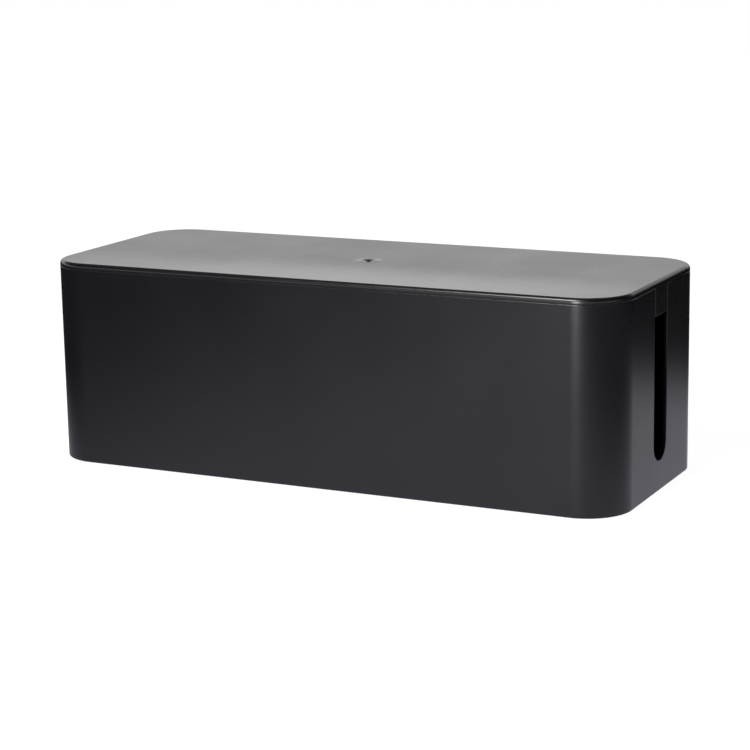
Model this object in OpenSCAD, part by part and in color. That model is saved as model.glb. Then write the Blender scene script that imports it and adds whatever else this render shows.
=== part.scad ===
// A box that hides a power strip and its cables: an open tub with a cable slot in each end wall, a lift-off
// lid whose tongues close the tops of the slots, and four rubber feet pressed into pockets under the floor.
// +X runs along the box, +Y to its back and +Z up. The origin is on the table, under the middle of the box.

/* [Overall] */
// Overall length
box_l = 407; // [300:1:500]
// Overall width
box_w = 162; // [130:1:200]
// Overall height, from the table to the top of the lid
box_h = 137; // [110:1:170]
// Outer radius of the four upright corners
corner_r = 30; // [24:1:36]

/* [Tub] */
// Thickness of the walls
wall = 2.5; // [2:0.1:3]
// Thickness of the floor
floor_t = 2.5; // [2:0.1:4]
// Radius round the bottom outer edge
base_edge_r = 1; // [0.5:0.1:2]
// Radius inside, where the walls meet the floor
floor_fillet_r = 3; // [1:0.5:5]
// Radius on both edges of the rim
rim_edge_r = 0.5; // [0.2:0.1:0.8]

/* [Cable slots] */
// Width of each cable slot
slot_w = 23.5; // [14:1:30]
// Height of a slot's lowest point above the tub's underside
slot_sill_h = 20; // [12:1:35]

/* [Lid] */
// Height of the lid's outer side, down to the parting line
lid_side_h = 4; // [3.5:0.5:8]
// Thickness of the lid's plate
lid_t = 2.5; // [2:0.1:3]
// Radius round the lid's top edge
lid_edge_r = 3; // [1:0.5:3.5]
// Depth of the locating lip below the parting line
lip_h = 6.5; // [3:0.5:12]
// Thickness of the locating lip
lip_t = 1.8; // [1.2:0.1:2.5]
// Gap between the lip and the inside of the tub's walls
lip_gap = 0.4; // [0.2:0.05:1]
// Distance that the tongues reach below the parting line
tongue_drop = 18; // [10:1:30]
// Gap on each side of a tongue in its slot
tongue_gap = 0.4; // [0.2:0.05:1]
// Thickness of the two gussets that brace each tongue
gusset_t = 1.6; // [1:0.1:2.5]
// Reach of the gussets along the lid's plate
gusset_reach = 9; // [4:1:14]

/* [Dimple] */
// Diameter of the dimple in the middle of the lid
dimple_d = 22; // [12:1:30]
// Depth of the dimple below the lid's top
dimple_depth = 1.3; // [0.5:0.1:1.5]
// Radius of the small hollow at the bottom of the dimple
dimple_floor_r = 2; // [0.5:0.1:3]

/* [Feet] */
// Diameter of a rubber foot
foot_d = 14; // [10:1:18]
// Thickness of a rubber foot
foot_t = 2; // [1.5:0.1:3]
// Depth of the pocket that a foot sits in
pocket_depth = 1; // [0.5:0.1:1.2]
// Gap all round a foot in its pocket
pocket_gap = 0.2; // [0.1:0.05:0.5]
// Radius round the edge of a foot that stands on the table
foot_edge_r = 0.4; // [0.2:0.1:0.5]

/* [Hidden] */

plastic = [0.06, 0.06, 0.065];
rubber = [0.13, 0.13, 0.13];
$fn = 96;
through = 1;                                // how far a cutting shape runs past a face
arc_steps = 12;                             // straight steps in a curve that is worked out point by point

tub_z = foot_t - pocket_depth;              // underside of the tub
floor_z = tub_z + floor_t;                  // top of its floor
rim_z = box_h - lid_side_h;                 // parting line between tub and lid
plate_z = box_h - lid_t;                    // underside of the lid's plate
slot_bottom_z = tub_z + slot_sill_h;
tongue_z = rim_z - tongue_drop;             // lower edge of the tongues
inner_r = corner_r - wall;                  // inner radius of the upright corners
lip_out_r = inner_r - lip_gap;
lip_in_r = lip_out_r - lip_t;
tongue_w = slot_w - 2 * tongue_gap;
dimple_r = dimple_d / 2;
lid_top_r = min(lid_edge_r, lid_side_h - rim_edge_r);

// The dimple is one broad arc that starts level at its rim, and a small arc that touches it at the bottom.
dimple_roll_r = (dimple_r * dimple_r + dimple_depth * dimple_depth) / (2 * dimple_depth) - dimple_floor_r;
dimple_slope = asin(dimple_r / (dimple_roll_r + dimple_floor_r));
dimple_roll_centre = [dimple_r, box_h - dimple_roll_r];
dimple_floor_centre = [0, box_h - dimple_depth + dimple_floor_r];

// A point at an angle on a circle, as [x, y]
function on_circle(centre, radius, angle) = centre + radius * [cos(angle), sin(angle)];

// Rectangle from one corner to the other, with a radius of its own on each corner,
// in the order bottom left, bottom right, top right, top left
module soft_rect(from, to, radii) {
    corners = [from, [to.x, from.y], to, [from.x, to.y]];
    inward = [[1, 1], [-1, 1], [-1, -1], [1, -1]];
    difference() {
        translate(from) square(to - from);
        for (i = [0:3]) if (radii[i] > 0)
            difference() {
                translate(corners[i] + (radii[i] - through) / 2 * inward[i])
                    square(radii[i] + through, center = true);
                translate(corners[i] + radii[i] * inward[i]) circle(radii[i]);
            }
    }
}

// Carries an outline round the box: x = 0 in the outline is the axis of an upright corner, and its y is height
module round_the_box() {
    for (sx = [-1, 1], sy = [-1, 1])
        translate([sx * (box_l / 2 - corner_r), sy * (box_w / 2 - corner_r), 0])
            rotate(atan2(sy, sx) - 45) rotate_extrude(angle = 90) children();
    for (turn = [0, 180]) {
        rotate(turn) translate([box_l / 2 - corner_r, box_w / 2 - corner_r, 0])
            rotate([90, 0, 0]) linear_extrude(box_w - 2 * corner_r) children();
        rotate(turn + 90) translate([box_w / 2 - corner_r, box_l / 2 - corner_r, 0])
            rotate([90, 0, 0]) linear_extrude(box_l - 2 * corner_r) children();
    }
}

// Flat middle of a floor or a plate, between the axes of the upright corners
module middle(from_z, to_z) {
    translate([corner_r - box_l / 2, corner_r - box_w / 2, from_z])
        cube([box_l - 2 * corner_r, box_w - 2 * corner_r, to_z - from_z]);
}

// Does the same to both ends of the box
module at_both_ends() {
    for (turn = [0, 180]) rotate(turn) children();
}

// Outline of the tub's wall with its share of the floor
module tub_outline() {
    soft_rect([0, tub_z], [corner_r, floor_z], [0, base_edge_r, 0, 0]);
    soft_rect([inner_r, floor_z], [corner_r, rim_z], [0, 0, rim_edge_r, rim_edge_r]);
    difference() {
        translate([inner_r - floor_fillet_r, floor_z]) square(floor_fillet_r);
        translate([inner_r - floor_fillet_r, floor_z + floor_fillet_r]) circle(floor_fillet_r);
    }
}

// Cutter for one cable slot: straight sides, a round bottom, and open at the rim
module slot_cutter() {
    translate([box_l / 2 + through, 0, slot_bottom_z + slot_w / 2]) rotate([90, 0, -90])
        linear_extrude(wall + 2 * through) {
            circle(slot_w / 2);
            translate([-slot_w / 2, 0]) square([slot_w, rim_z]);
        }
}

module tub() {
    color(plastic) difference() {
        union() {
            round_the_box() tub_outline();
            middle(tub_z, floor_z);
        }
        at_both_ends() slot_cutter();
        for (sx = [-1, 1], sy = [-1, 1]) at_foot(sx, sy)
            translate([0, 0, tub_z - through]) cylinder(r = foot_d / 2 + pocket_gap, h = pocket_depth + through);
    }
}

// Outline of the lid's edge: its share of the plate, its rounded side and the locating lip
module lid_outline() {
    difference() {
        soft_rect([0, rim_z], [corner_r, box_h], [0, rim_edge_r, lid_top_r, 0]);
        translate([-through, rim_z - through]) square([inner_r + through, plate_z - rim_z + through]);
    }
    translate([lip_in_r, rim_z - lip_h]) square([lip_t, plate_z - rim_z + lip_h]);
}

// Tongue that hangs from the lid's side in line with the tub's wall, and the gussets that brace it inside
module tongue() {
    translate([box_l / 2 - corner_r, tongue_w / 2, 0]) rotate([90, 0, 0]) linear_extrude(tongue_w)
        soft_rect([inner_r, tongue_z], [corner_r, rim_z + rim_edge_r], [0, rim_edge_r, 0, 0]);
    for (side = [-1, 1])
        translate([box_l / 2 - wall, side * tongue_w / 4 + gusset_t / 2, 0]) rotate([90, 0, 0])
            linear_extrude(gusset_t) polygon([[0, tongue_z + wall], [0, plate_z], [-gusset_reach, plate_z]]);
}

// Gap in the lip where a tongue hangs
module lip_cutter() {
    translate([box_l / 2 - corner_r, -slot_w / 2, rim_z - lip_h - through])
        cube([inner_r, slot_w, plate_z - rim_z + lip_h + through]);
}

// Cutter for the dimple in the middle of the lid's top
module dimple_cutter() {
    rotate_extrude() polygon(concat(
        [[0, box_h + through], [dimple_r, box_h + through]],
        [for (i = [0:arc_steps])
            on_circle(dimple_roll_centre, dimple_roll_r, 90 + dimple_slope * i / arc_steps)],
        [for (i = [arc_steps - 1:-1:0])
            on_circle(dimple_floor_centre, dimple_floor_r, 270 + dimple_slope * i / arc_steps)]));
}

module lid() {
    color(plastic) {
        difference() {
            union() {
                round_the_box() lid_outline();
                middle(plate_z, box_h);
            }
            at_both_ends() lip_cutter();
            dimple_cutter();
        }
        at_both_ends() tongue();
    }
}

// Moves to the middle of one foot, on the axis of an upright corner
module at_foot(sx, sy) {
    translate([sx * (box_l / 2 - corner_r), sy * (box_w / 2 - corner_r), 0]) children();
}

module foot(sx, sy) {
    color(rubber) at_foot(sx, sy)
        rotate_extrude() soft_rect([0, 0], [foot_d / 2, foot_t], [0, foot_edge_r, 0, 0]);
}

tub();
lid();
foot(-1, -1);  // foot_front_left
foot(1, -1);  // foot_front_right
foot(-1, 1);  // foot_back_left
foot(1, 1);  // foot_back_right
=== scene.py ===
from collections import namedtuple
from math import asin, cos, degrees, radians, sin, tau

import bmesh
import bpy
from mathutils import Matrix, Vector


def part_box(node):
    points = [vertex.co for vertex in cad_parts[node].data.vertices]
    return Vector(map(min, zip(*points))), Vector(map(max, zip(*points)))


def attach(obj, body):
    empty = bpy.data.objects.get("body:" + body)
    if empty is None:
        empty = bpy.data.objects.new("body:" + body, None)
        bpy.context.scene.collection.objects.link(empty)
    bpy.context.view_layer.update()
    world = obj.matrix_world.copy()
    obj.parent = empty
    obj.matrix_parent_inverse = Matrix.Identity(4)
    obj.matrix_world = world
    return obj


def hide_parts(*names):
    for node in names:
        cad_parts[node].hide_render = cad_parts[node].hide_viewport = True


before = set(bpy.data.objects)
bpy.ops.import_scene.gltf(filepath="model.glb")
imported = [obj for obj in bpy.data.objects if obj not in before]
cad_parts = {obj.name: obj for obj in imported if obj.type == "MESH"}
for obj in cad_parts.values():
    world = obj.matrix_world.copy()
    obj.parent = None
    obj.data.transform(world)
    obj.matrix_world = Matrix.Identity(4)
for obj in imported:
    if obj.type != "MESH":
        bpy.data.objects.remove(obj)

bl_info = {
    "name": "Cable Box",
    "version": (1, 0, 0),
    "blender": (4, 5, 0),
    "location": "3D View > Sidebar > Cable Box",
    "description": "A box that hides a power strip: tub, lift-off lid, rubber feet and a small studio",
    "category": "Add Mesh",
}

MM = 0.001
UP = Vector((0, 0, 1))

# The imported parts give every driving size: the box's outline, its parting line and where its feet stand.
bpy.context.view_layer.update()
TUB_LOW, TUB_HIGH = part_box("tub")
LID_LOW, LID_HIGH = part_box("lid")
FOOT_LOW, FOOT_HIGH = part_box("foot_back_right")
HALF_LENGTH = TUB_HIGH.x
AXIS_X = (FOOT_LOW.x + FOOT_HIGH.x) / 2         # a foot stands on the axis of each upright corner
AXIS_Y = (FOOT_LOW.y + FOOT_HIGH.y) / 2
CORNER_R = HALF_LENGTH - AXIS_X
TUB_Z = TUB_LOW.z                               # underside of the tub
RIM_Z = TUB_HIGH.z                              # parting line
TONGUE_Z = LID_LOW.z                            # lower edge of the lid's tongues
TOP_Z = LID_HIGH.z
FOOT_R = (FOOT_HIGH.x - FOOT_LOW.x) / 2
FOOT_T = FOOT_HIGH.z - FOOT_LOW.z


def length(name, description, default):
    """A size that a user can change, in metres."""
    return bpy.props.FloatProperty(
        name=name, description=description, default=default, min=0.0, subtype="DISTANCE", unit="LENGTH")


def share(name, description, default):
    """A number from 0 to 1 that a user can change."""
    return bpy.props.FloatProperty(
        name=name, description=description, default=default, min=0.0, max=1.0, subtype="FACTOR")


def tint(name, description, default):
    """A colour that a user can change."""
    return bpy.props.FloatVectorProperty(
        name=name, description=description, default=default, size=3, min=0.0, max=1.0, subtype="COLOR")


class CableBoxTub(bpy.types.PropertyGroup):
    wall: length("Wall", "Thickness of the tub's walls and of the lid's side", 2.5 * MM)
    floor: length("Floor", "Thickness of the tub's floor", 2.5 * MM)
    base_edge: length("Base edge", "Radius round the bottom outer edge", 1.0 * MM)
    floor_fillet: length("Floor fillet", "Radius inside, where the walls meet the floor", 3.0 * MM)
    rim_edge: length("Rim edge", "Radius on the edges of the rim and of the cable slots", 0.5 * MM)
    slot_width: length("Slot width", "Width of a cable slot", 23.5 * MM)
    slot_sill: length("Slot sill", "Height of a slot's lowest point above the tub's underside", 20.0 * MM)
    pocket_depth: length("Pocket depth", "Depth of the pocket that a foot sits in", 1.0 * MM)
    pocket_gap: length("Pocket gap", "Gap all round a foot in its pocket", 0.2 * MM)


class CableBoxLid(bpy.types.PropertyGroup):
    plate: length("Plate", "Thickness of the lid's plate", 2.5 * MM)
    top_edge: length("Top edge", "Radius round the lid's top edge", 3.0 * MM)
    tongue_gap: length("Tongue gap", "Gap on each side of a tongue in its slot", 0.4 * MM)
    dimple: length("Dimple", "Diameter of the dimple in the middle of the lid", 22.0 * MM)
    dimple_depth: length("Dimple depth", "Depth of the dimple below the lid's top", 1.3 * MM)
    dimple_floor: length("Dimple floor", "Radius of the hollow at the bottom of the dimple", 2.0 * MM)
    lip_depth: length("Lip depth", "How far the locating lip reaches below the parting line", 6.5 * MM)
    lip_wall: length("Lip thickness", "Thickness of the locating lip", 1.8 * MM)
    lip_gap: length("Lip gap", "Gap between the lip and the inside of the tub", 0.4 * MM)
    gusset: length("Gusset", "Thickness of the gussets that brace the tongues", 1.6 * MM)
    gusset_reach: length("Gusset reach", "Reach of the gussets along the plate", 9.0 * MM)


class CableBoxFinish(bpy.types.PropertyGroup):
    plastic: tint("Plastic", "Colour of the moulded plastic", (0.0030, 0.0028, 0.0040))
    rubber: tint("Rubber", "Colour of the feet", (0.018, 0.018, 0.018))
    roughness: share("Roughness", "Roughness of the satin plastic", 0.27)
    grain: share("Grain", "Depth of the fine moulded grain", 0.03)
    wear: share("Wear", "How much the edges are rubbed bright", 0.25)
    dust: share("Dust", "How much dust lies on faces that look up", 0.06)
    polish: share("Polish", "How much smoother the lid is in its dimple and where hands rub it", 0.15)


class CableBoxStage(bpy.types.PropertyGroup):
    azimuth: bpy.props.FloatProperty(
        name="Azimuth", description="Angle of the camera round the box, from the front",
        default=radians(26.41), subtype="ANGLE", unit="ROTATION")
    elevation: bpy.props.FloatProperty(
        name="Elevation", description="Angle of the camera above the table",
        default=radians(12.49), subtype="ANGLE", unit="ROTATION")
    roll: bpy.props.FloatProperty(
        name="Roll", description="Turn of the camera about its own line of sight",
        default=radians(-0.99), subtype="ANGLE", unit="ROTATION")
    distance: length("Distance", "From the camera to the point it looks at", 1.4886)
    aim: bpy.props.FloatVectorProperty(
        name="Aim", description="Point that the camera looks at",
        default=(-0.0023, 0.0114, 0.0567), size=3, subtype="XYZ", unit="LENGTH")
    lens: bpy.props.FloatProperty(
        name="Lens", description="Focal length in millimetres", default=105.97, min=1.0)
    floor: tint("Floor", "Colour of the table", (0.9, 0.9, 0.9))


# --------------------------------------------------------------------------------------------------
# Outlines and meshes
# --------------------------------------------------------------------------------------------------

# A place on an edge that runs along a wall: a point on the wall's outer face, the way out of that face,
# and the way out of the plastic along the wall.
Stop = namedtuple("Stop", "point out free")

CORNER_STEPS = 24
EDGE_STEPS = 5
ROUND_STEPS = 128


def arc(centre, radius, start, end, steps):
    """Points on an arc in a plane, from one angle in degrees to another."""
    angles = [radians(start + (end - start) * i / steps) for i in range(steps + 1)]
    return [(centre[0] + radius * cos(a), centre[1] + radius * sin(a)) for a in angles]


def corner_stops(z, free):
    """Stops round the four upright corners, one list for each, from the back right corner on."""
    corners = []
    for quarter, (sx, sy) in enumerate(((1, 1), (-1, 1), (-1, -1), (1, -1))):
        axis = Vector((sx * AXIS_X, sy * AXIS_Y, z))
        turns = [radians(90 * (quarter + i / CORNER_STEPS)) for i in range(CORNER_STEPS + 1)]
        outs = [Vector((cos(a), sin(a), 0)) for a in turns]
        corners.append([Stop(axis + CORNER_R * out, out, free) for out in outs])
    return corners


def turned(stops):
    """The same stops on the other end of the box."""
    half_turn = Matrix.Rotation(radians(180), 3, "Z")
    return [Stop(half_turn @ s.point, half_turn @ s.out, half_turn @ s.free) for s in stops]


def edge_path(z, free, end_stops):
    """A closed edge round the box at one height, with its own stops across each end wall."""
    back_right, back_left, front_left, front_right = corner_stops(z, free)
    return back_right + back_left + turned(end_stops) + front_left + front_right + end_stops


def end_stop(y, z, free_y, free_z):
    """A stop on the right end wall."""
    return Stop(Vector((HALF_LENGTH, y, z)), Vector((1, 0, 0)), Vector((0, free_y, free_z)))


def row(bm, stops, depth, inset):
    """One row of points along an edge, at a depth below the outer face and an inset from the edge."""
    return [bm.verts.new(s.point - depth * s.out - inset * s.free) for s in stops]


def ring(bm, inset, z):
    """One level row of points round the box."""
    stops = [s for corner in corner_stops(z, UP) for s in corner]
    return row(bm, stops, inset, 0)


def circle(bm, centre, radius, z, steps=ROUND_STEPS):
    """One level circle of points."""
    turns = [tau * i / steps for i in range(steps)]
    return [bm.verts.new((centre[0] + radius * cos(a), centre[1] + radius * sin(a), z)) for a in turns]


def bridge(bm, rows, closed=True):
    """Quads between each row and the next."""
    for one, two in zip(rows, rows[1:]):
        count = len(one)
        for i in range(count if closed else count - 1):
            j = (i + 1) % count
            bm.faces.new((one[i], one[j], two[j], two[i]))


def wall_faces(bm, level, edge):
    """Faces between a level ring and an edge that has stops of its own across the end walls."""
    half = len(level) // 2
    extra = (len(edge) - len(level)) // 2
    for first in (0, half):
        shift = extra if first else 0
        for i in range(first, first + half - 1):
            bm.faces.new((level[i], level[i + 1], edge[i + 1 + shift], edge[i + shift]))
    bm.faces.new([level[half], *level[half - 1:half], *edge[half - 1:half + extra + 1]])
    bm.faces.new([level[0], level[-1], *edge[2 * half + extra - 1:], edge[0]])


def flat_fill(bm, *loops):
    """A flat face between closed loops of points, with holes where the inner loops are."""
    edges = []
    for loop in loops:
        for one, two in zip(loop, loop[1:] + loop[:1]):
            edges.append(bm.edges.get((one, two)) or bm.edges.new((one, two)))
    bmesh.ops.triangle_fill(bm, edges=edges, use_beauty=True, use_dissolve=False)


def piece_from(bm, name, material):
    """An object at the origin from a finished mesh, smooth, with its flat faces kept flat."""
    bmesh.ops.recalc_face_normals(bm, faces=bm.faces)
    mesh = bpy.data.meshes.new(name)
    bm.to_mesh(mesh)
    bm.free()
    mesh.shade_smooth()
    mesh.materials.append(material)
    piece = bpy.data.objects.new(name, mesh)
    bpy.context.scene.collection.objects.link(piece)
    weighted = piece.modifiers.new("Flat faces stay flat", "WEIGHTED_NORMAL")
    weighted.keep_sharp = True
    weighted.weight = 50
    return piece


# --------------------------------------------------------------------------------------------------
# Tub
# --------------------------------------------------------------------------------------------------

def slot_stops(tub):
    """The rim dips down one side of the cable slot, round its bottom and up the other side."""
    half = tub.slot_width / 2
    centre_z = TUB_Z + tub.slot_sill + half
    bottom = [end_stop(y, z, -y / half, (centre_z - z) / half)
              for y, z in arc((0, centre_z), half, 180, 360, 2 * CORNER_STEPS)]
    return [end_stop(-half, RIM_Z, 1, 1), *bottom, end_stop(half, RIM_Z, -1, 1)]


def edge_profile(wall, radius):
    """Depths and insets across an edge of a wall, rounded on both faces."""
    outer = arc((radius, radius), radius, 180, 270, EDGE_STEPS)
    inner = arc((wall - radius, radius), radius, 270, 360, EDGE_STEPS)
    return outer + inner


def build_tub(tub, material):
    """The open box, from the middle of its underside over the rim to the middle of its floor."""
    bm = bmesh.new()
    floor_z = TUB_Z + tub.floor
    base = [ring(bm, inset, TUB_Z + z)
            for inset, z in arc((tub.base_edge, tub.base_edge), tub.base_edge, 270, 180, EDGE_STEPS)]
    bridge(bm, base)

    rim_stops = edge_path(RIM_Z, UP, slot_stops(tub))
    rim = [row(bm, rim_stops, depth, inset) for depth, inset in edge_profile(tub.wall, tub.rim_edge)]
    bridge(bm, rim)
    wall_faces(bm, base[-1], rim[0])

    fillet = tub.floor_fillet
    foot_of_wall = [ring(bm, tub.wall + inset, floor_z + z)
                    for inset, z in arc((fillet, fillet), fillet, 180, 270, EDGE_STEPS)]
    bridge(bm, foot_of_wall)
    wall_faces(bm, foot_of_wall[0], rim[-1])
    bm.faces.new(foot_of_wall[-1])

    mouths = []
    for sx, sy in ((1, 1), (-1, 1), (-1, -1), (1, -1)):
        centre = (sx * AXIS_X, sy * AXIS_Y)
        radius = FOOT_R + tub.pocket_gap
        mouth, end = (circle(bm, centre, radius, z) for z in (TUB_Z, TUB_Z + tub.pocket_depth))
        bridge(bm, [mouth, end])
        bm.faces.new(end)
        mouths.append(mouth)
    flat_fill(bm, base[0], *mouths)
    return piece_from(bm, "tub_shell", material)


# --------------------------------------------------------------------------------------------------
# Lid
# --------------------------------------------------------------------------------------------------

def tongue_stops(tub, lid):
    """The lid's lower edge dips round the tongue that closes the top of the cable slot."""
    half = tub.slot_width / 2 - lid.tongue_gap
    return [end_stop(-half, RIM_Z, -1, -1), end_stop(-half, TONGUE_Z, -1, -1),
            end_stop(half, TONGUE_Z, 1, -1), end_stop(half, RIM_Z, 1, -1)]


def dimple_profile(lid):
    """Radii and heights from the dimple's rim, over a broad roll, to the small hollow at its bottom."""
    rim = lid.dimple / 2
    roll = (rim ** 2 + lid.dimple_depth ** 2) / (2 * lid.dimple_depth) - lid.dimple_floor
    slope = degrees(asin(rim / (roll + lid.dimple_floor)))
    over = arc((rim, TOP_Z - roll), roll, 90, 90 + slope, 6 * EDGE_STEPS)
    hollow_z = TOP_Z - lid.dimple_depth + lid.dimple_floor
    hollow = arc((0, hollow_z), lid.dimple_floor, 270 + slope, 270, EDGE_STEPS)
    return over + hollow[1:-1]


def build_lid(tub, lid, material):
    """The lid's plate, side, tongues and dimple, from the top round the lower edge to the underside."""
    bm = bmesh.new()
    radius = lid.top_edge
    top = [ring(bm, inset, TOP_Z - radius + z)
           for inset, z in arc((radius, 0), radius, 90, 180, 3 * EDGE_STEPS)]
    bridge(bm, top)

    lower_stops = edge_path(RIM_Z, -UP, tongue_stops(tub, lid))
    lower = [row(bm, lower_stops, depth, inset) for depth, inset in edge_profile(tub.wall, tub.rim_edge)]
    bridge(bm, lower)
    wall_faces(bm, top[-1], lower[0])

    inside = ring(bm, tub.wall, TOP_Z - lid.plate)
    wall_faces(bm, inside, lower[-1])

    dimple = [circle(bm, (0, 0), r, z) for r, z in dimple_profile(lid)]
    bridge(bm, dimple)
    bottom = bm.verts.new((0, 0, TOP_Z - lid.dimple_depth))
    for one, two in zip(dimple[-1], dimple[-1][1:] + dimple[-1][:1]):
        bm.faces.new((one, two, bottom))
    flat_fill(bm, top[0], dimple[0])
    bm.faces.new(inside)
    return piece_from(bm, "lid_shell", material)


# --------------------------------------------------------------------------------------------------
# Geometry Nodes
# --------------------------------------------------------------------------------------------------

def node_in(tree, kind, values=None, **settings):
    """A node in a tree, with its settings and the values of its unlinked inputs."""
    node = tree.nodes.new(kind)
    for key, value in settings.items():
        setattr(node, key, value)
    for key, value in (values or {}).items():
        node.inputs[key].default_value = value
    return node


def wire(tree, *pairs):
    """Links pairs of an output and an input."""
    for source, target in pairs:
        tree.links.new(source, target)


def geometry_tree(name, inputs):
    """An empty Geometry Nodes tree with named inputs after its geometry, given as name and socket type."""
    tree = bpy.data.node_groups.new(name, "GeometryNodeTree")
    tree.interface.new_socket("Geometry", in_out="INPUT", socket_type="NodeSocketGeometry")
    for label, kind in inputs.items():
        tree.interface.new_socket(label, in_out="INPUT", socket_type=kind)
    tree.interface.new_socket("Geometry", in_out="OUTPUT", socket_type="NodeSocketGeometry")
    return tree, tree.nodes.new("NodeGroupInput"), tree.nodes.new("NodeGroupOutput")


def finish_tree(tree, group_in, group_out, geometry):
    """Realize Instances and Set Material, the last two steps of every tree."""
    real = node_in(tree, "GeometryNodeRealizeInstances")
    painted = node_in(tree, "GeometryNodeSetMaterial")
    wire(tree, (geometry, real.inputs["Geometry"]),
         (real.outputs["Geometry"], painted.inputs["Geometry"]),
         (group_in.outputs["Material"], painted.inputs["Material"]),
         (painted.outputs["Geometry"], group_out.inputs["Geometry"]))


def copies_tree():
    """Stands a copy of one object on each point, turned to face the other way on the box's left."""
    tree, group_in, group_out = geometry_tree(
        "Copies on points", {"Copy": "NodeSocketObject", "Material": "NodeSocketMaterial"})
    copy = node_in(tree, "GeometryNodeObjectInfo")
    place = node_in(tree, "GeometryNodeInputPosition")
    axes = node_in(tree, "ShaderNodeSeparateXYZ")
    on_left = node_in(tree, "ShaderNodeMath", {1: 0.0}, operation="LESS_THAN")
    turn = node_in(tree, "ShaderNodeMath", {1: radians(180)}, operation="MULTIPLY")
    angles = node_in(tree, "ShaderNodeCombineXYZ")
    stand = node_in(tree, "GeometryNodeInstanceOnPoints")
    wire(tree, (group_in.outputs["Copy"], copy.inputs["Object"]),
         (place.outputs["Position"], axes.inputs[0]), (axes.outputs["X"], on_left.inputs[0]),
         (on_left.outputs[0], turn.inputs[0]), (turn.outputs[0], angles.inputs["Z"]),
         (group_in.outputs["Geometry"], stand.inputs["Points"]),
         (copy.outputs["Geometry"], stand.inputs["Instance"]),
         (angles.outputs[0], stand.inputs["Rotation"]))
    finish_tree(tree, group_in, group_out, stand.outputs["Instances"])
    return tree


def strip_tree():
    """Sweeps an upright strip of wall with rounded edges along a level path."""
    tree, group_in, group_out = geometry_tree(
        "Strip along a path", {"Thickness": "NodeSocketFloat", "Height": "NodeSocketFloat",
                               "Edge radius": "NodeSocketFloat", "Material": "NodeSocketMaterial"})
    path = node_in(tree, "GeometryNodeMeshToCurve")
    upright = node_in(tree, "GeometryNodeSetCurveNormal", mode="Z_UP")
    outline = node_in(tree, "GeometryNodeCurvePrimitiveQuadrilateral")
    rounded = node_in(tree, "GeometryNodeFilletCurve", mode="POLY")
    rounded.inputs["Count"].default_value = EDGE_STEPS
    sweep = node_in(tree, "GeometryNodeCurveToMesh", {"Fill Caps": True})
    wire(tree, (group_in.outputs["Geometry"], path.inputs["Mesh"]),
         (path.outputs["Curve"], upright.inputs["Curve"]),
         (group_in.outputs["Thickness"], outline.inputs["Width"]),
         (group_in.outputs["Height"], outline.inputs["Height"]),
         (outline.outputs["Curve"], rounded.inputs["Curve"]),
         (group_in.outputs["Edge radius"], rounded.inputs["Radius"]),
         (upright.outputs["Curve"], sweep.inputs["Curve"]),
         (rounded.outputs["Curve"], sweep.inputs["Profile Curve"]))
    finish_tree(tree, group_in, group_out, sweep.outputs["Mesh"])
    return tree


def run_tree(name, points, edges, tree, values):
    """The plain mesh that a tree makes from points and edges, as an object at the origin."""
    mesh = bpy.data.meshes.new(name)
    mesh.from_pydata(points, edges, [])
    source = bpy.data.objects.new(name, mesh)
    bpy.context.scene.collection.objects.link(source)
    modifier = source.modifiers.new(tree.name, "NODES")
    modifier.node_group = tree
    for socket in tree.interface.items_tree:
        if socket.in_out == "INPUT" and socket.name in values:
            modifier[socket.identifier] = values[socket.name]
    evaluated = source.evaluated_get(bpy.context.evaluated_depsgraph_get())
    made = bpy.data.meshes.new_from_object(evaluated)
    bpy.data.objects.remove(source)
    made.name = name
    bm = bmesh.new()
    bm.from_mesh(made)
    bpy.data.meshes.remove(made)
    return piece_from(bm, name, values["Material"])


# --------------------------------------------------------------------------------------------------
# Lip, gussets and feet
# --------------------------------------------------------------------------------------------------

def build_lip(tub, lid, material):
    """Two strips under the plate that locate the lid inside the tub, apart where the tongues hang."""
    height = TOP_Z - lid.plate - RIM_Z + lid.lip_depth
    inset = tub.wall + lid.lip_gap + lid.lip_wall / 2
    corners = corner_stops(TOP_Z - lid.plate - height / 2, UP)
    points, edges = [], []
    for pair, sy in ((corners[:2], 1), (corners[2:], -1)):
        path = [s.point - inset * s.out for corner in pair for s in corner]
        for end, at in ((path[0], 0), (path[-1], len(path) + 1)):
            path.insert(at, Vector((end.x, sy * tub.slot_width / 2, end.z)))
        first = len(points)
        points += path
        edges += [(first + i, first + i + 1) for i in range(len(path) - 1)]
    return run_tree("lid_lip", points, edges, strip_tree(), {
        "Thickness": lid.lip_wall, "Height": height, "Edge radius": lid.lip_wall / 4, "Material": material})


def prism(name, outline, thickness, material):
    """A flat plate with a rounded rim, its outline in X and Z, centred on Y."""
    bm = bmesh.new()
    sides = [[bm.verts.new((x, y, z)) for x, z in outline] for y in (-thickness / 2, thickness / 2)]
    bridge(bm, sides)
    for side in sides:
        bm.faces.new(side)
    bmesh.ops.bevel(bm, geom=bm.edges, offset=thickness / 6, segments=2, affect="EDGES")
    return piece_from(bm, name, material)


def build_gussets(tub, lid, material):
    """Two three-cornered gussets between each tongue and the plate."""
    bury = tub.wall / 2
    face_x = HALF_LENGTH - tub.wall
    top = TOP_Z - lid.plate
    low = TONGUE_Z + tub.wall
    reach = lid.gusset_reach
    outline = [(bury, low - top), (bury, bury), (-reach, bury), (-reach, 0), (0, low - top)]
    one = prism("gusset", outline, lid.gusset, material)
    half = tub.slot_width / 2 - lid.tongue_gap
    points = [(sx * face_x, sy * half / 2, top) for sx in (-1, 1) for sy in (-1, 1)]
    made = run_tree("lid_gussets", points, [], copies_tree(), {"Copy": one, "Material": material})
    bpy.data.objects.remove(one)
    return made


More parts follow.
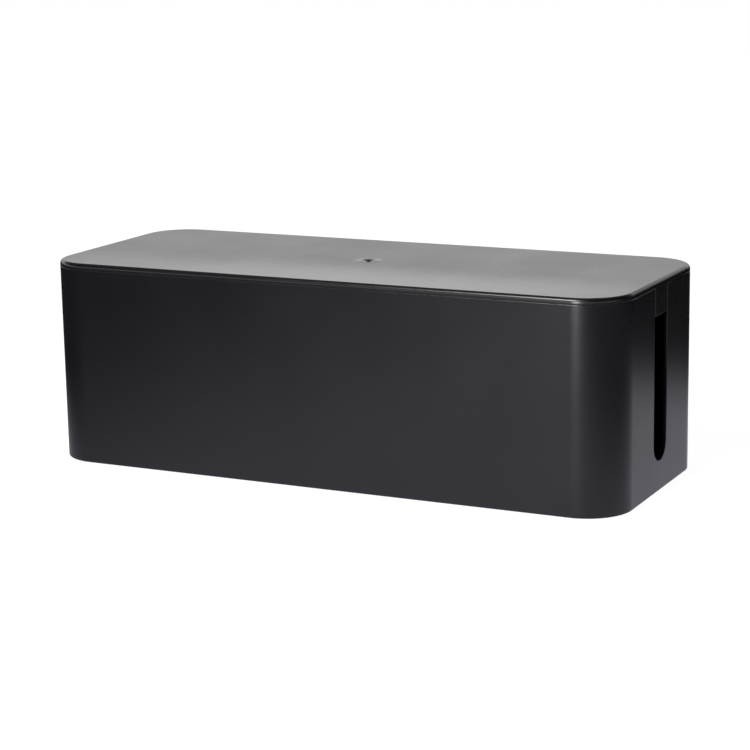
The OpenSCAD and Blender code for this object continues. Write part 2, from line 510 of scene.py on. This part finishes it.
def build_feet(material):
    """Four rubber feet, each a disc with rounded rims and a shallow ring moulded in its underside."""
    edge = FOOT_T / 5
    groove = FOOT_T / 10
    ring_r = FOOT_R * 0.62
    bm = bmesh.new()
    under = arc((ring_r, 0), groove, 180, 0, EDGE_STEPS)
    profile = [*under, *arc((FOOT_R - edge, edge), edge, 270, 360, EDGE_STEPS),
               *arc((FOOT_R - edge / 2, FOOT_T - edge / 2), edge / 2, 0, 90, EDGE_STEPS)]
    rings = [circle(bm, (0, 0), r, z, ROUND_STEPS // 2) for r, z in profile]
    bridge(bm, rings)
    bm.faces.new(rings[0])
    bm.faces.new(rings[-1])
    one = piece_from(bm, "foot", material)
    points = [(sx * AXIS_X, sy * AXIS_Y, 0) for sx in (-1, 1) for sy in (-1, 1)]
    made = run_tree("rubber_feet", points, [], copies_tree(), {"Copy": one, "Material": material})
    bpy.data.objects.remove(one)
    return made


# --------------------------------------------------------------------------------------------------
# Finishes
# --------------------------------------------------------------------------------------------------

RUBBED_TINT = (0.06, 0.06, 0.065, 1)
DUST_TINT = (0.42, 0.41, 0.4, 1)
GLOSS_DRIFT = 0.02                              # how far the roughness wanders either way
RUBBED_SHINE = 0.08                             # how much smoother a fully rubbed edge is
DUST_DULLNESS = 0.5                             # how much rougher full dust would be
# Where hands rub the lid's top: the zone's middle and half length along X, its front and depth along Y
HANDLED_ZONE = {"Middle": 0.03, "Reach": 0.3, "Front": -0.078, "Depth": 0.075}


def shader_group(name, inputs, outputs):
    """An empty shader group with named float inputs and outputs."""
    tree = bpy.data.node_groups.new(name, "ShaderNodeTree")
    for label in inputs:
        tree.interface.new_socket(label, in_out="INPUT", socket_type="NodeSocketFloat")
    for label in outputs:
        tree.interface.new_socket(label, in_out="OUTPUT", socket_type="NodeSocketFloat")
    return tree, tree.nodes.new("NodeGroupInput"), tree.nodes.new("NodeGroupOutput")


def noise(tree, place, size, detail):
    """Noise whose blotches have a size in metres, taken from a socket."""
    per_metre = node_in(tree, "ShaderNodeMath", {0: 1.0}, operation="DIVIDE")
    texture = node_in(tree, "ShaderNodeTexNoise", {"Detail": detail, "Roughness": 0.55})
    wire(tree, (size, per_metre.inputs[1]), (per_metre.outputs[0], texture.inputs["Scale"]),
         (place, texture.inputs["Vector"]))
    return texture.outputs["Fac"]


def soft_step(tree, start, end, before, after):
    """A value that eases from one level to another as its input goes from start to end."""
    ends = {"From Min": start, "From Max": end, "To Min": before, "To Max": after}
    return node_in(tree, "ShaderNodeMapRange", ends, interpolation_type="SMOOTHSTEP")


def grain_group():
    """Moulded grain: fine bumps on a slow waviness, and a slow drift of tone."""
    tree, group_in, group_out = shader_group(
        "Moulded grain", ("Grain size", "Wave size", "Drift size", "Wave share"), ("Height", "Tone"))
    place = node_in(tree, "ShaderNodeTexCoord").outputs["Object"]
    fine = noise(tree, place, group_in.outputs["Grain size"], 2.0)
    wave = noise(tree, place, group_in.outputs["Wave size"], 1.0)
    drift = noise(tree, place, group_in.outputs["Drift size"], 3.0)
    both = node_in(tree, "ShaderNodeMath", operation="MULTIPLY_ADD")
    wire(tree, (wave, both.inputs[0]), (group_in.outputs["Wave share"], both.inputs[1]),
         (fine, both.inputs[2]), (both.outputs[0], group_out.inputs["Height"]),
         (drift, group_out.inputs["Tone"]))
    return tree


def wear_group():
    """Edge wear: a broken line along every edge, where handling has rubbed the grain."""
    tree, group_in, group_out = shader_group("Rubbed edges", ("Width", "Patch size", "Amount"), ("Mask",))
    place = node_in(tree, "ShaderNodeTexCoord").outputs["Object"]
    eased = node_in(tree, "ShaderNodeBevel", samples=6)
    normal = node_in(tree, "ShaderNodeNewGeometry")
    alike = node_in(tree, "ShaderNodeVectorMath", operation="DOT_PRODUCT")
    bent = node_in(tree, "ShaderNodeMapRange", {"From Min": 0.995, "From Max": 0.9})
    patches = noise(tree, place, group_in.outputs["Patch size"], 3.0)
    broken = node_in(tree, "ShaderNodeMapRange", {"From Min": 0.4, "From Max": 0.65})
    rubbed = node_in(tree, "ShaderNodeMath", operation="MULTIPLY")
    mask = node_in(tree, "ShaderNodeMath", operation="MULTIPLY")
    wire(tree, (group_in.outputs["Width"], eased.inputs["Radius"]), (eased.outputs[0], alike.inputs[0]),
         (normal.outputs["Normal"], alike.inputs[1]), (alike.outputs["Value"], bent.inputs["Value"]),
         (patches, broken.inputs["Value"]), (bent.outputs[0], rubbed.inputs[0]),
         (broken.outputs[0], rubbed.inputs[1]), (rubbed.outputs[0], mask.inputs[0]),
         (group_in.outputs["Amount"], mask.inputs[1]), (mask.outputs[0], group_out.inputs["Mask"]))
    return tree


def dust_group():
    """Settled dust: a thin uneven film on faces that look up."""
    tree, group_in, group_out = shader_group("Settled dust", ("Speck size", "Amount"), ("Mask",))
    place = node_in(tree, "ShaderNodeTexCoord").outputs["Object"]
    normal = node_in(tree, "ShaderNodeNewGeometry")
    axes = node_in(tree, "ShaderNodeSeparateXYZ")
    level = node_in(tree, "ShaderNodeMapRange", {"From Min": 0.7, "From Max": 1.0})
    specks = noise(tree, place, group_in.outputs["Speck size"], 4.0)
    uneven = node_in(tree, "ShaderNodeMath", operation="MULTIPLY")
    mask = node_in(tree, "ShaderNodeMath", operation="MULTIPLY")
    wire(tree, (normal.outputs["Normal"], axes.inputs[0]), (axes.outputs["Z"], level.inputs["Value"]),
         (level.outputs[0], uneven.inputs[0]), (specks, uneven.inputs[1]),
         (uneven.outputs[0], mask.inputs[0]), (group_in.outputs["Amount"], mask.inputs[1]),
         (mask.outputs[0], group_out.inputs["Mask"]))
    return tree


def polish_group():
    """Polish: a soft zone along the front edge of the lid's top, where hands rub it, and the dimple."""
    tree, group_in, group_out = shader_group(
        "Polished places", ("Middle", "Reach", "Front", "Depth", "Dimple radius", "Amount"), ("Mask",))
    place = node_in(tree, "ShaderNodeTexCoord").outputs["Object"]
    axes = node_in(tree, "ShaderNodeSeparateXYZ")
    from_middle = node_in(tree, "ShaderNodeMath", operation="SUBTRACT")
    along = node_in(tree, "ShaderNodeMath", operation="DIVIDE")
    away = node_in(tree, "ShaderNodeMath", operation="ABSOLUTE")
    ends = soft_step(tree, 0.0, 1.0, 1.0, 0.0)
    behind = node_in(tree, "ShaderNodeMath", operation="SUBTRACT")
    across = node_in(tree, "ShaderNodeMath", operation="DIVIDE")
    front = soft_step(tree, 0.0, 1.0, 1.0, 0.0)
    normal = node_in(tree, "ShaderNodeNewGeometry")
    up = node_in(tree, "ShaderNodeSeparateXYZ")
    level = node_in(tree, "ShaderNodeMapRange", {"From Min": 0.95, "From Max": 1.0})
    zone = node_in(tree, "ShaderNodeMath", operation="MULTIPLY")
    flat_zone = node_in(tree, "ShaderNodeMath", operation="MULTIPLY")
    in_plan = node_in(tree, "ShaderNodeCombineXYZ")
    radius = node_in(tree, "ShaderNodeVectorMath", operation="LENGTH")
    rims = node_in(tree, "ShaderNodeMath", operation="DIVIDE")
    dimple = node_in(tree, "ShaderNodeMapRange", {"From Min": 0.7, "To Min": 0.45, "To Max": 0.0})
    either = node_in(tree, "ShaderNodeMath", operation="MAXIMUM")
    mask = node_in(tree, "ShaderNodeMath", operation="MULTIPLY")
    wire(tree, (normal.outputs["Normal"], up.inputs[0]), (up.outputs["Z"], level.inputs["Value"]),
         (place, axes.inputs[0]), (axes.outputs["X"], from_middle.inputs[0]),
         (group_in.outputs["Middle"], from_middle.inputs[1]), (from_middle.outputs[0], along.inputs[0]),
         (group_in.outputs["Reach"], along.inputs[1]), (along.outputs[0], away.inputs[0]),
         (away.outputs[0], ends.inputs["Value"]), (axes.outputs["Y"], behind.inputs[0]),
         (group_in.outputs["Front"], behind.inputs[1]), (behind.outputs[0], across.inputs[0]),
         (group_in.outputs["Depth"], across.inputs[1]), (across.outputs[0], front.inputs["Value"]),
         (ends.outputs[0], zone.inputs[0]), (front.outputs[0], zone.inputs[1]),
         (zone.outputs[0], flat_zone.inputs[0]), (level.outputs[0], flat_zone.inputs[1]),
         (axes.outputs["X"], in_plan.inputs["X"]), (axes.outputs["Y"], in_plan.inputs["Y"]),
         (in_plan.outputs[0], radius.inputs[0]), (radius.outputs["Value"], rims.inputs[0]),
         (group_in.outputs["Dimple radius"], rims.inputs[1]), (rims.outputs[0], dimple.inputs["Value"]),
         (flat_zone.outputs[0], either.inputs[0]), (dimple.outputs[0], either.inputs[1]),
         (either.outputs[0], mask.inputs[0]), (group_in.outputs["Amount"], mask.inputs[1]),
         (mask.outputs[0], group_out.inputs["Mask"]))
    return tree


def use_group(tree, group_name, make, values):
    """A shared group placed in a material, with this material's own values."""
    group = bpy.data.node_groups.get(group_name) or make()
    return node_in(tree, "ShaderNodeGroup", values, node_tree=group)


def finish_material(name, colour, roughness, grain_size, grain_depth, wear, dust, polish, dimple_radius):
    """A moulded finish: fine grain, a drift of gloss, rubbed edges, polished places and a little dust."""
    old = bpy.data.materials.get(name)
    if old:
        return old
    material = bpy.data.materials.new(name)
    material.use_nodes = True
    tree = material.node_tree
    surface = tree.nodes["Principled BSDF"]
    surface.inputs["IOR"].default_value = 1.5
    grain = use_group(tree, "Moulded grain", grain_group, {
        "Grain size": grain_size, "Wave size": 3.0 * MM, "Drift size": 60 * MM, "Wave share": 0.35})
    rubbed = use_group(tree, "Rubbed edges", wear_group, {
        "Width": 0.8 * MM, "Patch size": 9 * MM, "Amount": wear})
    film = use_group(tree, "Settled dust", dust_group, {"Speck size": 1.2 * MM, "Amount": dust})

    shade = node_in(tree, "ShaderNodeMapRange", {"To Min": 0.85, "To Max": 1.15})
    plain = node_in(tree, "ShaderNodeVectorMath", {0: colour}, operation="SCALE")
    worn = node_in(tree, "ShaderNodeMix", {7: RUBBED_TINT}, data_type="RGBA")
    dusty = node_in(tree, "ShaderNodeMix", {7: DUST_TINT}, data_type="RGBA")
    wire(tree, (grain.outputs["Tone"], shade.inputs["Value"]), (shade.outputs[0], plain.inputs["Scale"]),
         (plain.outputs[0], worn.inputs[6]), (rubbed.outputs["Mask"], worn.inputs[0]),
         (worn.outputs[2], dusty.inputs[6]), (film.outputs["Mask"], dusty.inputs[0]),
         (dusty.outputs[2], surface.inputs["Base Color"]))

    gloss = node_in(tree, "ShaderNodeMapRange", {
        "From Min": 0.3, "From Max": 0.7,
        "To Min": roughness - GLOSS_DRIFT, "To Max": roughness + GLOSS_DRIFT})
    worn_gloss = node_in(tree, "ShaderNodeMath", {1: -RUBBED_SHINE}, operation="MULTIPLY_ADD")
    dusty_gloss = node_in(tree, "ShaderNodeMath", {1: DUST_DULLNESS}, operation="MULTIPLY_ADD")
    polished = use_group(tree, "Polished places", polish_group, {
        **HANDLED_ZONE, "Dimple radius": dimple_radius, "Amount": polish})
    smooth = node_in(tree, "ShaderNodeMath", operation="SUBTRACT")
    wire(tree, (grain.outputs["Tone"], gloss.inputs["Value"]),
         (rubbed.outputs["Mask"], worn_gloss.inputs[0]),
         (gloss.outputs[0], worn_gloss.inputs[2]), (film.outputs["Mask"], dusty_gloss.inputs[0]),
         (worn_gloss.outputs[0], dusty_gloss.inputs[2]), (dusty_gloss.outputs[0], smooth.inputs[0]),
         (polished.outputs["Mask"], smooth.inputs[1]), (smooth.outputs[0], surface.inputs["Roughness"]))

    bump = node_in(tree, "ShaderNodeBump", {"Strength": grain_depth, "Distance": grain_size / 3})
    wire(tree, (grain.outputs["Height"], bump.inputs["Height"]),
         (bump.outputs[0], surface.inputs["Normal"]))
    return material


def tub_plastic(finish):
    """The satin plastic of the tub."""
    return finish_material("Satin black plastic, tub", finish.plastic, finish.roughness, 0.3 * MM,
                           finish.grain, finish.wear, finish.dust, 0.0, 1.0)


def lid_plastic(lid, finish):
    """The satin plastic of the lid, smoother where hands rub it and in the dimple."""
    return finish_material("Satin black plastic, lid", finish.plastic, finish.roughness, 0.3 * MM,
                           finish.grain, finish.wear, finish.dust, finish.polish, lid.dimple / 2)


def rubber(finish):
    """The matt rubber of the feet."""
    return finish_material("Matt black rubber", finish.rubber, 0.62, 0.15 * MM, 0.3, 0.1, 0.02, 0.0, 1.0)


# --------------------------------------------------------------------------------------------------
# Studio
# --------------------------------------------------------------------------------------------------

def build_camera(stage):
    """The camera, turned round its line of sight by the roll."""
    az, el = stage.azimuth, stage.elevation
    back = Vector((sin(az) * cos(el), -cos(az) * cos(el), sin(el)))
    right = Vector((cos(az), sin(az), 0))
    over = back.cross(right)
    rolled_right = right * cos(stage.roll) + over * sin(stage.roll)
    rolled_up = over * cos(stage.roll) - right * sin(stage.roll)
    data = bpy.data.cameras.new("Camera")
    data.lens = stage.lens
    data.sensor_width = 36
    data.dof.use_dof = False
    camera = bpy.data.objects.new("Camera", data)
    turn = Matrix((rolled_right, rolled_up, back)).transposed().to_4x4()
    camera.matrix_world = Matrix.Translation(Vector(stage.aim) + back * stage.distance) @ turn
    bpy.context.scene.collection.objects.link(camera)
    bpy.context.scene.camera = camera


def area_light(name, place, aim, size, power):
    """A soft rectangular light that points at a place and isn't seen by the camera."""
    data = bpy.data.lights.new(name, "AREA")
    data.shape = "RECTANGLE"
    data.size, data.size_y = size
    data.energy = power
    light = bpy.data.objects.new(name, data)
    light.location = place
    light.rotation_euler = (Vector(aim) - Vector(place)).to_track_quat("-Z", "Y").to_euler()
    light.visible_camera = False
    bpy.context.scene.collection.objects.link(light)


def build_lights():
    """A soft box high in front, and a tall one below it that reaches down to the table."""
    area_light("High soft box", (-0.12, -0.62, 1.0), (0.1, 0, 0.13), (0.25, 0.25), 8)
    area_light("Low soft box", (0.05, -1.38, 0.5), (0.05, 0, 0.5), (0.2, 0.95), 15)


# How brightly the room glows at each angle above the horizon, in degrees
ROOM_BAND = ((-90, 0.3), (2, 0.05), (9, 1.0), (17, 1.8), (24, 0.03), (90, 0.03))


def build_world():
    """A white room: in reflections a bright low band, dark overhead and dim to the back right."""
    world = bpy.data.worlds.new("White room")
    bpy.context.scene.world = world
    world.use_nodes = True
    tree = world.node_tree
    tree.nodes.clear()
    seen = node_in(tree, "ShaderNodeBackground", {"Color": (1, 1, 1, 1), "Strength": 1.0})
    room = node_in(tree, "ShaderNodeBackground", {"Color": (1, 1, 1, 1)})
    way = node_in(tree, "ShaderNodeTexCoord")
    axes = node_in(tree, "ShaderNodeSeparateXYZ")
    band = node_in(tree, "ShaderNodeValToRGB")
    band.color_ramp.interpolation = "EASE"
    ramp = band.color_ramp.elements
    while len(ramp) < len(ROOM_BAND):
        ramp.new(1.0)
    for element, (degrees_up, glow) in zip(ramp, ROOM_BAND):
        element.position = 0.5 + sin(radians(degrees_up)) / 2
        element.color = (glow, glow, glow, 1)
    height = node_in(tree, "ShaderNodeMath", {1: 0.5, 2: 0.5}, operation="MULTIPLY_ADD")
    to_right = soft_step(tree, 0.1, 0.35, 0.0, 0.95)
    to_back = soft_step(tree, 0.0, 0.3, 0.0, -1.0)
    dimmed = node_in(tree, "ShaderNodeMath", {2: 1.0}, operation="MULTIPLY_ADD")
    level = node_in(tree, "ShaderNodeMath", operation="MULTIPLY")
    rays = node_in(tree, "ShaderNodeLightPath")
    choice = node_in(tree, "ShaderNodeMixShader")
    out = node_in(tree, "ShaderNodeOutputWorld")
    wire(tree, (way.outputs["Generated"], axes.inputs[0]), (axes.outputs["Z"], height.inputs[0]),
         (height.outputs[0], band.inputs["Fac"]), (axes.outputs["X"], to_right.inputs["Value"]),
         (axes.outputs["Y"], to_back.inputs["Value"]), (to_right.outputs[0], dimmed.inputs[0]),
         (to_back.outputs[0], dimmed.inputs[1]), (dimmed.outputs[0], level.inputs[0]),
         (band.outputs["Color"], level.inputs[1]), (level.outputs[0], room.inputs["Strength"]),
         (rays.outputs["Is Camera Ray"], choice.inputs[0]),
         (room.outputs[0], choice.inputs[1]), (seen.outputs[0], choice.inputs[2]),
         (choice.outputs[0], out.inputs[0]))


TABLE_HALF_SIZE = 4                             # metres
TABLE_SHADE = 0.3                               # share of the table's colour that the lights fall on
TABLE_GLOW = 0.96
GLOW_TINT = (0.96, 0.94, 1.06, 1)               # tint of the table's glow in reflections


def build_floor(colour):
    """A pale glowing table. In reflections its glow fades to the left, the right and the back."""
    bm = bmesh.new()
    bmesh.ops.create_grid(bm, x_segments=1, y_segments=1, size=TABLE_HALF_SIZE)
    mesh = bpy.data.meshes.new("floor")
    bm.to_mesh(mesh)
    bm.free()
    floor = bpy.data.objects.new("floor", mesh)
    bpy.context.scene.collection.objects.link(floor)
    material = bpy.data.materials.new("Pale table")
    material.use_nodes = True
    tree = material.node_tree
    tree.nodes.clear()
    matt = node_in(tree, "ShaderNodeBsdfDiffuse", {"Color": (*(TABLE_SHADE * c for c in colour), 1)})
    glow = node_in(tree, "ShaderNodeEmission", {"Color": (1, 1, 1, 1), "Strength": TABLE_GLOW})
    table = node_in(tree, "ShaderNodeAddShader")
    mirrored = node_in(tree, "ShaderNodeEmission", {"Color": GLOW_TINT})
    place = node_in(tree, "ShaderNodeTexCoord")
    axes = node_in(tree, "ShaderNodeSeparateXYZ")
    left = soft_step(tree, -0.5, 0.0, 0.02, 0.7)
    right = soft_step(tree, 0.13, 0.6, 1.0, 0.15)
    back = soft_step(tree, 0.2, 0.42, 1.0, 0.02)
    sides = node_in(tree, "ShaderNodeMath", operation="MULTIPLY")
    fade = node_in(tree, "ShaderNodeMath", operation="MULTIPLY")
    rays = node_in(tree, "ShaderNodeLightPath")
    choice = node_in(tree, "ShaderNodeMixShader")
    out = node_in(tree, "ShaderNodeOutputMaterial")
    wire(tree, (matt.outputs[0], table.inputs[0]), (glow.outputs[0], table.inputs[1]),
         (place.outputs["Object"], axes.inputs[0]), (axes.outputs["X"], left.inputs["Value"]),
         (axes.outputs["Y"], back.inputs["Value"]), (axes.outputs["X"], right.inputs["Value"]),
         (left.outputs[0], sides.inputs[0]), (right.outputs[0], sides.inputs[1]),
         (sides.outputs[0], fade.inputs[0]), (back.outputs[0], fade.inputs[1]),
         (fade.outputs[0], mirrored.inputs["Strength"]), (rays.outputs["Is Glossy Ray"], choice.inputs[0]),
         (table.outputs[0], choice.inputs[1]), (mirrored.outputs[0], choice.inputs[2]),
         (choice.outputs[0], out.inputs["Surface"]))
    mesh.materials.append(material)


# --------------------------------------------------------------------------------------------------
# Operators and panel
# --------------------------------------------------------------------------------------------------

class CABLEBOX_OT_tub(bpy.types.Operator):
    """Make the tub"""
    bl_idname = "cable_box.tub"
    bl_label = "Tub"

    def execute(self, context):
        scene = context.scene
        piece = build_tub(scene.cable_box_tub, tub_plastic(scene.cable_box_finish))
        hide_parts("tub")
        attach(piece, "base")
        return {"FINISHED"}


class CABLEBOX_OT_lid(bpy.types.Operator):
    """Make the lid's plate with its side, tongues and dimple"""
    bl_idname = "cable_box.lid"
    bl_label = "Lid"

    def execute(self, context):
        scene = context.scene
        lid = scene.cable_box_lid
        piece = build_lid(scene.cable_box_tub, lid, lid_plastic(lid, scene.cable_box_finish))
        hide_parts("lid")
        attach(piece, "cover")
        return {"FINISHED"}


class CABLEBOX_OT_lid_ribs(bpy.types.Operator):
    """Make the locating lip and the gussets under the lid"""
    bl_idname = "cable_box.lid_ribs"
    bl_label = "Lip and Gussets"

    def execute(self, context):
        scene = context.scene
        lid = scene.cable_box_lid
        material = lid_plastic(lid, scene.cable_box_finish)
        for build in (build_lip, build_gussets):
            piece = build(scene.cable_box_tub, lid, material)
            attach(piece, "cover")
        return {"FINISHED"}


class CABLEBOX_OT_feet(bpy.types.Operator):
    """Make the four rubber feet"""
    bl_idname = "cable_box.feet"
    bl_label = "Feet"

    def execute(self, context):
        piece = build_feet(rubber(context.scene.cable_box_finish))
        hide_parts("foot_front_left", "foot_front_right", "foot_back_left", "foot_back_right")
        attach(piece, "base")
        return {"FINISHED"}


class CABLEBOX_OT_stage(bpy.types.Operator):
    """Make the table, the lights, the room and the camera"""
    bl_idname = "cable_box.stage"
    bl_label = "Stage"

    def execute(self, context):
        stage = context.scene.cable_box_stage
        build_floor(stage.floor)
        build_lights()
        build_world()
        build_camera(stage)
        context.scene.view_settings.view_transform = "Standard"
        return {"FINISHED"}


class CABLEBOX_PT_panel(bpy.types.Panel):
    """Sizes, finishes and the pieces to make"""
    bl_label = "Cable Box"
    bl_idname = "CABLEBOX_PT_panel"
    bl_space_type = "VIEW_3D"
    bl_region_type = "UI"
    bl_category = "Cable Box"

    def draw(self, context):
        for name, (title, group) in GROUPS.items():
            box = self.layout.box()
            box.label(text=title)
            for key in group.__annotations__:
                box.prop(getattr(context.scene, name), key)
        for operator in OPERATORS:
            self.layout.operator(operator.bl_idname)


GROUPS = {
    "cable_box_tub": ("Tub", CableBoxTub),
    "cable_box_lid": ("Lid", CableBoxLid),
    "cable_box_finish": ("Finish", CableBoxFinish),
    "cable_box_stage": ("Stage", CableBoxStage),
}
OPERATORS = (CABLEBOX_OT_tub, CABLEBOX_OT_lid, CABLEBOX_OT_lid_ribs, CABLEBOX_OT_feet, CABLEBOX_OT_stage)


def register():
    """Adds the property groups, the operators and the panel to Blender."""
    for name, (_, group) in GROUPS.items():
        bpy.utils.register_class(group)
        setattr(bpy.types.Scene, name, bpy.props.PointerProperty(type=group))
    for operator in OPERATORS:
        bpy.utils.register_class(operator)
    bpy.utils.register_class(CABLEBOX_PT_panel)


def unregister():
    """Takes them out again, in the opposite order."""
    bpy.utils.unregister_class(CABLEBOX_PT_panel)
    for operator in reversed(OPERATORS):
        bpy.utils.unregister_class(operator)
    for name, (_, group) in reversed(GROUPS.items()):
        delattr(bpy.types.Scene, name)
        bpy.utils.unregister_class(group)


def main():
    """Makes every piece and the stage."""
    register()
    for operator in OPERATORS:
        category, action = operator.bl_idname.split(".")
        getattr(getattr(bpy.ops, category), action)()


if __name__ == "__main__":
    main()
